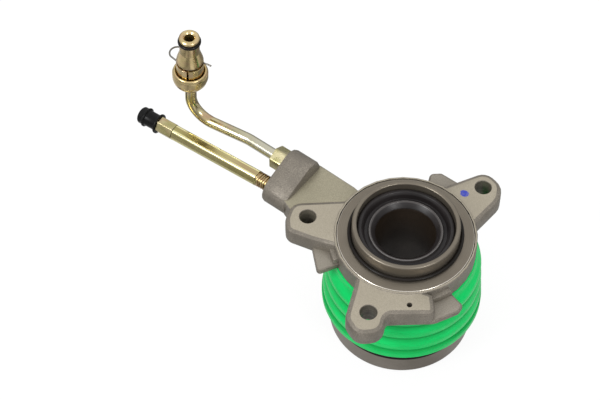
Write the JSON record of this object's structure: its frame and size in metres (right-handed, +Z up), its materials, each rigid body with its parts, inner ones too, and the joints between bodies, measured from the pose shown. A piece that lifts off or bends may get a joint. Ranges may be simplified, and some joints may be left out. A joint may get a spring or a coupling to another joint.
{
  "type": "clutch slave cylinder",
  "caption": "Concentric clutch slave cylinder with release bearing, dust boot, pressure pipe with quick connector, and a remote bleeder",
  "frame": {"origin": "middle of the footprint of the whole assembly, on the plane of the bearing's thrust face", "axes": "+Z up along the cylinder axis, from the thrust face to the bolted flange; +X to the right and +Y away in the picture"},
  "size_m": [0.1868, 0.1456, 0.1289],
  "materials": {
    "cast_alloy": "as cast, machined faces",
    "turned_steel": "turned",
    "bright_steel": "ground",
    "zinc_yellow": "yellow zinc plated",
    "piston_nylon": "glass filled nylon",
    "black_rubber": "matte",
    "green_rubber": "satin"
  },
  "bodies": {
    "cylinder": {"housing": "cast_alloy", "seal_carrier": "turned_steel", "carrier_oring": "black_rubber", "spigot_oring": "black_rubber", "guide_tube": "bright_steel", "stop_ring": "bright_steel", "shaft_seal": "black_rubber", "preload_spring": "bright_steel", "dust_boot": "green_rubber", "pressure_pipe": "zinc_yellow", "tube_nut": "zinc_yellow", "pipe_connector": "zinc_yellow", "connector_sleeve": "zinc_yellow", "connector_oring": "black_rubber", "retaining_clip": "bright_steel", "bleed_pipe": "zinc_yellow"},
    "release_carriage": {"piston": "piston_nylon", "pressure_seal": "black_rubber", "bearing_carrier": "turned_steel", "inner_race": "bright_steel"},
    "thrust_ring": {"outer_race": "turned_steel", "bearing_shield": "turned_steel"},
    "ball_set": {"ball_cage": "piston_nylon", "ball_01": "bright_steel", "ball_02": "bright_steel", "ball_03": "bright_steel", "ball_04": "bright_steel", "ball_05": "bright_steel", "ball_06": "bright_steel", "ball_07": "bright_steel", "ball_08": "bright_steel", "ball_09": "bright_steel", "ball_10": "bright_steel", "ball_11": "bright_steel", "ball_12": "bright_steel"},
    "vent_screw": {"bleed_screw": "zinc_yellow"},
    "vent_cap": {"bleed_cap": "black_rubber"}
  },
  "joints": [
    {"name": "release_travel", "type": "slide", "parent": "cylinder", "child": "release_carriage", "axis": [0, 0, -1], "range_m": [-0.014, 0], "stiffness_N_per_m": 2500, "springref_m": 0.02, "deforming": ["preload_spring", "dust_boot"]},
    {"name": "bearing_spin", "type": "hinge", "parent": "release_carriage", "child": "thrust_ring", "pos_m": [0.04411, -0.01485, 0.009], "axis": [0, 0, 1], "continuous": true},
    {"name": "cage_spin", "type": "hinge", "parent": "release_carriage", "child": "ball_set", "pos_m": [0.04411, -0.01485, 0.009], "axis": [0, 0, 1], "continuous": true},
    {"name": "bleed_screw_turn", "type": "hinge", "parent": "cylinder", "child": "vent_screw", "pos_m": [-0.02269, 0.02033, 0.063], "axis": [-0.8251, 0.565, 0], "range_deg": [0, 360]},
    {"name": "bleed_cap_pull", "type": "slide", "parent": "vent_screw", "child": "vent_cap", "axis": [-0.8251, 0.565, 0], "range_m": [0, 0.015]}
  ],
  "couplings": [
    {"joint": "cage_spin", "follows": "bearing_spin", "ratio": 0.56}
  ]
}
